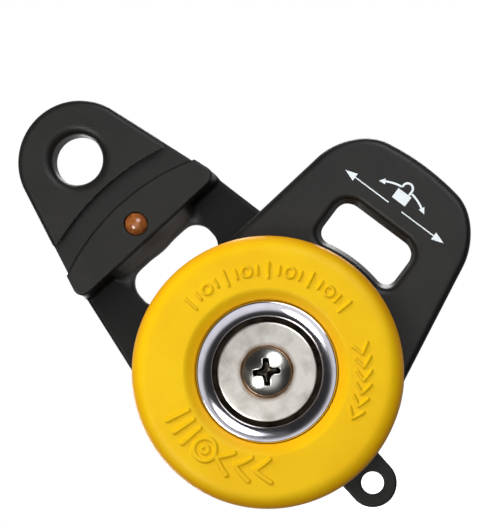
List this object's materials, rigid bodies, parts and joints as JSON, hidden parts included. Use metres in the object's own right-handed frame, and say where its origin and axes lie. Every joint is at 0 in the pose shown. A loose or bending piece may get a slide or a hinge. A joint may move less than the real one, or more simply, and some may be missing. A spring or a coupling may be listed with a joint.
{
  "type": "rope pulley",
  "caption": "Snatch block: a ball-bearing sheave between two cheeks, with a head eye, a becket eye and a front cheek that swings open to take the rope.",
  "frame": {"origin": "centre of the sheave, midway between the two cheeks", "axes": "+Y along the axle, away from the opening front cheek; +Z from the sheave towards the head eye; +X to the side that the front cheek stands open to"},
  "size_m": [0.0787, 0.0356, 0.1061],
  "materials": {
    "composite": "matte moulded, carbon-fibre filled",
    "anodised": "hard anodised, dark grey",
    "hub_steel": "turned stainless steel",
    "cup_steel": "polished stainless steel",
    "washer_steel": "satin stainless steel, lightly scratched",
    "screw_steel": "polished stainless steel",
    "bronze": "wrapped bronze bush, oxidised",
    "rubber": "yellow rubber, satin",
    "ball_plastic": "hard brown bearing plastic, polished",
    "cage_plastic": "natural acetal",
    "slip_plastic": "white slippery plastic",
    "spring_steel": "drawn stainless spring wire",
    "plug_steel": "stainless steel set screw"
  },
  "bodies": {
    "frame": {"rear_cheek": "composite", "hub_sleeve": "hub_steel", "axle_stud": "hub_steel", "rear_bush": "bronze", "rear_thrust_washer": "slip_plastic", "rear_cup": "cup_steel", "rear_rubber_ring": "rubber", "front_washer": "washer_steel", "rear_washer": "washer_steel", "front_screw": "screw_steel", "rear_screw": "screw_steel", "detent_spring": "spring_steel", "detent_plug": "plug_steel"},
    "swing_cheek": {"front_cheek": "composite", "front_bush": "bronze", "front_thrust_washer": "slip_plastic", "front_cup": "cup_steel", "front_rubber_ring": "rubber"},
    "sheave": {"sheave": "anodised"},
    "ball_set": {"front_balls": "ball_plastic", "rear_balls": "ball_plastic", "front_cage": "cage_plastic", "rear_cage": "cage_plastic"},
    "detent": {"detent_ball": "ball_plastic"}
  },
  "joints": [
    {"name": "cheek_swing", "type": "hinge", "parent": "frame", "child": "swing_cheek", "pos_m": [0, 0, 0], "axis": [0, 1, 0], "range_deg": [-79.5, 280.5]},
    {"name": "sheave_spin", "type": "hinge", "parent": "frame", "child": "sheave", "pos_m": [0, 0, 0], "axis": [0, 1, 0], "continuous": true},
    {"name": "ball_set_spin", "type": "hinge", "parent": "frame", "child": "ball_set", "pos_m": [0, 0, 0], "axis": [0, 1, 0], "continuous": true},
    {"name": "detent_press", "type": "slide", "parent": "frame", "child": "detent", "axis": [0, 1, 0], "range_m": [0, 0.0012], "stiffness_N_per_m": 2500, "springref_m": -0.001, "deforming": ["detent_spring"]}
  ],
  "couplings": [
    {"joint": "ball_set_spin", "follows": "sheave_spin", "ratio": 0.5909}
  ]
}
